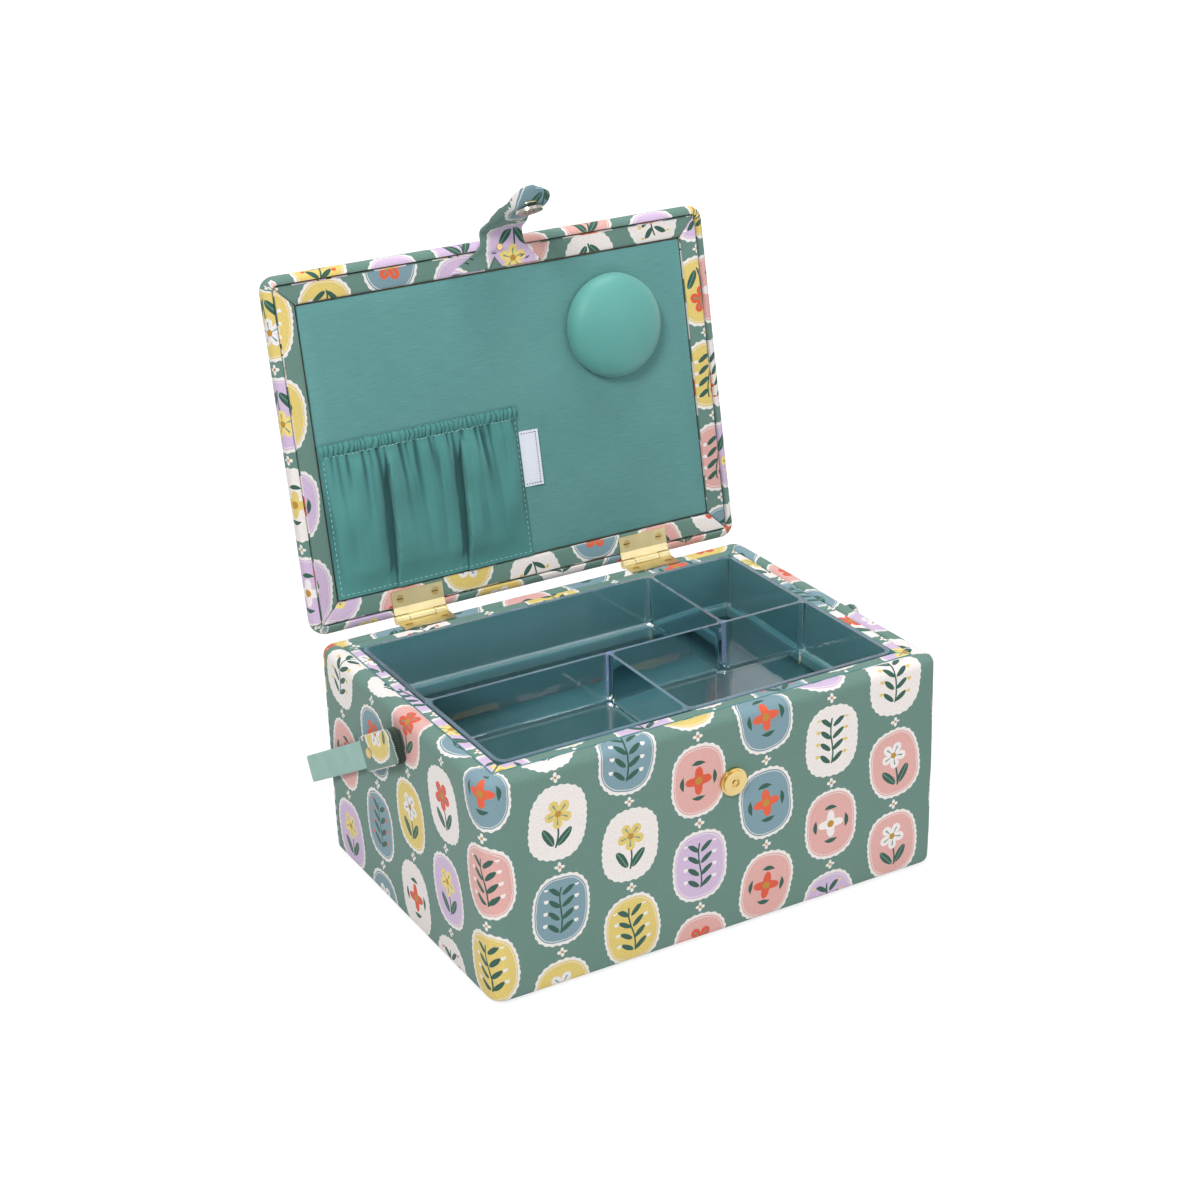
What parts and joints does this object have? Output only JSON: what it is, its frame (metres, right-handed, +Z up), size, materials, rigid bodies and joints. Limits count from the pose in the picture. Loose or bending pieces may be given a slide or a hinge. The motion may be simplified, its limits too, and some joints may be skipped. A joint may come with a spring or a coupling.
{
  "type": "sewing box",
  "caption": "Fabric-covered padded sewing box with a hinged lid, lift-out clear tray, gathered lid pocket, pin cushion, snap strap and a folding strap handle.",
  "frame": {"origin": "centre of the box's underside, on the surface that it stands on", "axes": "+Z up, -Y towards the front wall with the snap, +X towards the right as seen from the front"},
  "size_m": [0.272, 0.2367, 0.3368],
  "materials": {
    "board": "plain grey-brown fibreboard",
    "printed_padding": "printed cotton over thin wadding",
    "printed_trim": "printed cotton, stretched flat",
    "interior_cloth": "plain teal cloth over card",
    "panel_cloth": "plain teal slubbed cloth, matt",
    "pocket_cloth": "plain teal cotton",
    "cushion_satin": "teal satin, soft sheen",
    "label_satin": "white satin tape, bare",
    "clear_plastic": "clear moulded polystyrene, faint blue tint",
    "hinge_brass": "pressed brass plate, bright",
    "screw_brass": "turned brass",
    "snap_brass": "bright brass plate",
    "snap_steel": "bright plated steel disc",
    "strap_cloth": "printed cotton over a stiff core",
    "handle_strap": "pale mint coated strap, satin",
    "tab_cloth": "printed cotton, doubled, raw edges",
    "underside_card": "dark cloth over card"
  },
  "bodies": {
    "base": {"back_board": "board", "base_hinge_leaf_left": "hinge_brass", "base_hinge_leaf_right": "hinge_brass", "base_hinge_screws": "screw_brass", "bottom_board": "board", "floor_lining": "interior_cloth", "front_board": "board", "hinge_pin_left": "screw_brass", "hinge_pin_right": "screw_brass", "left_board": "board", "padded_base_cover": "printed_padding", "right_board": "board", "rim_strip_back": "printed_trim", "rim_strip_front": "printed_trim", "rim_strip_left": "printed_trim", "rim_strip_right": "printed_trim", "side_lining_back": "interior_cloth", "side_lining_front": "interior_cloth", "side_lining_left": "interior_cloth", "side_lining_right": "interior_cloth", "tray_ledge_back": "interior_cloth", "tray_ledge_front": "interior_cloth", "tray_ledge_left": "interior_cloth", "tray_ledge_right": "interior_cloth", "underside_panel": "underside_card", "wall_snap_disc": "snap_steel", "wall_snap_post": "snap_brass", "wall_snap_ring": "snap_brass", "wall_stud_left": "screw_brass", "wall_stud_right": "screw_brass"},
    "lid": {"blank_label": "label_satin", "lid_board": "board", "lid_frame_back": "printed_trim", "lid_frame_front": "printed_trim", "lid_frame_left": "printed_trim", "lid_frame_right": "printed_trim", "lid_hinge_leaf_left": "hinge_brass", "lid_hinge_leaf_right": "hinge_brass", "lid_hinge_screws": "screw_brass", "lid_panel": "panel_cloth", "lid_pocket": "pocket_cloth", "padded_lid_cover": "printed_padding", "pin_cushion": "cushion_satin", "pocket_elastic": "pocket_cloth", "strap_root": "strap_cloth", "strap_root_rivet": "screw_brass"},
    "strap": {"strap_tongue": "strap_cloth", "strap_snap_socket": "snap_steel", "strap_snap_cap": "snap_brass"},
    "tray": {"clear_tray": "clear_plastic"},
    "tab_left": {"handle_tab_left": "tab_cloth", "handle_rivet_left": "screw_brass"},
    "tab_right": {"handle_tab_right": "tab_cloth", "handle_rivet_right": "screw_brass"},
    "handle": {"handle_strap": "handle_strap"}
  },
  "joints": [
    {"name": "lid_hinge", "type": "hinge", "parent": "base", "child": "lid", "pos_m": [0, 0.095, 0.121], "axis": [-1, 0, 0], "range_deg": [-100, 0]},
    {"name": "strap_fold", "type": "hinge", "parent": "lid", "child": "strap", "pos_m": [0, 0.12875, 0.31296], "axis": [-1, 0, 0], "range_deg": [-18, 72]},
    {"name": "tray_lift", "type": "slide", "parent": "base", "child": "tray", "axis": [0, 0, 1], "range_m": [0, 0.06]},
    {"name": "tab_swing", "type": "hinge", "parent": "base", "child": "tab_left", "pos_m": [0, -0.004, 0.103], "axis": [1, 0, 0], "range_deg": [-6, 47]},
    {"name": "tab_swing_right", "type": "hinge", "parent": "base", "child": "tab_right", "pos_m": [0, -0.004, 0.103], "axis": [1, 0, 0], "range_deg": [-6, 47]},
    {"name": "handle_flex", "type": "hinge", "parent": "tab_left", "child": "handle", "pos_m": [0, 0.02378, 0.08773], "axis": [1, 0, 0], "range_deg": [-6, 8]}
  ],
  "couplings": [
    {"joint": "tab_swing_right", "follows": "tab_swing", "ratio": 1}
  ]
}
